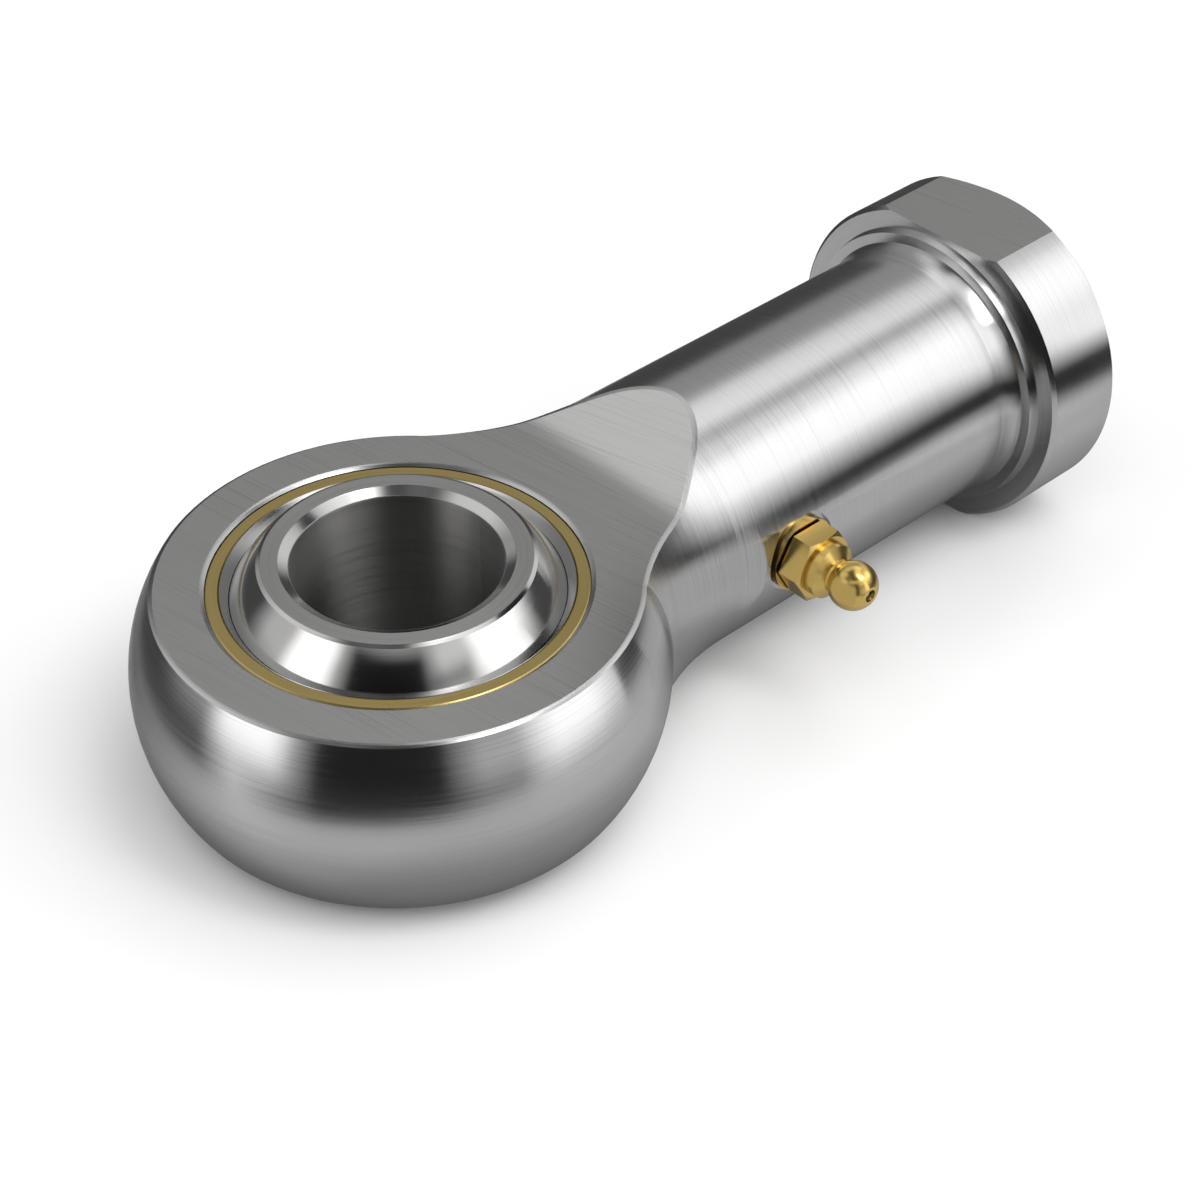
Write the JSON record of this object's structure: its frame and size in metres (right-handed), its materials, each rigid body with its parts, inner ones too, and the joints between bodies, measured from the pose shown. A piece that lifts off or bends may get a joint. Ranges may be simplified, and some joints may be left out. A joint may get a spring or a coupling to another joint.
{
  "type": "female rod end",
  "caption": "Rod end with a spherical bearing in a barrel-shaped head, a shank with an inside thread and a flatted collar, and a small grease nipple on its side.",
  "frame": {"origin": "centre of the ball", "axes": "+X along the shank towards its threaded end, +Z along the ball's bore, the grease nipple points along -Y"},
  "size_m": [0.067, 0.0308, 0.0198],
  "materials": {
    "housing_steel": "turned and brushed, zinc bright",
    "sleeve_brass": "turned",
    "race_steel": "ground",
    "ball_steel": "polished",
    "nipple_brass": "polished",
    "spring_steel": "drawn wire"
  },
  "bodies": {
    "housing": {"housing": "housing_steel", "brass_sleeve": "sleeve_brass", "steel_race": "race_steel", "nipple_body": "nipple_brass", "nipple_spring": "spring_steel"},
    "ball": {"ball": "ball_steel"},
    "check_ball": {"nipple_check_ball": "ball_steel"}
  },
  "joints": [
    {"name": "ball_tilt", "type": "hinge", "parent": "housing", "child": "ball", "pos_m": [0, 0, 0], "axis": [1, 0, 0], "range_deg": [-11, 11]},
    {"name": "check_ball_slide", "type": "slide", "parent": "housing", "child": "check_ball", "axis": [0, 1, 0], "range_m": [0, 0.0006], "stiffness_N_per_m": 100, "springref_m": -0.001, "deforming": ["nipple_spring"]}
  ]
}
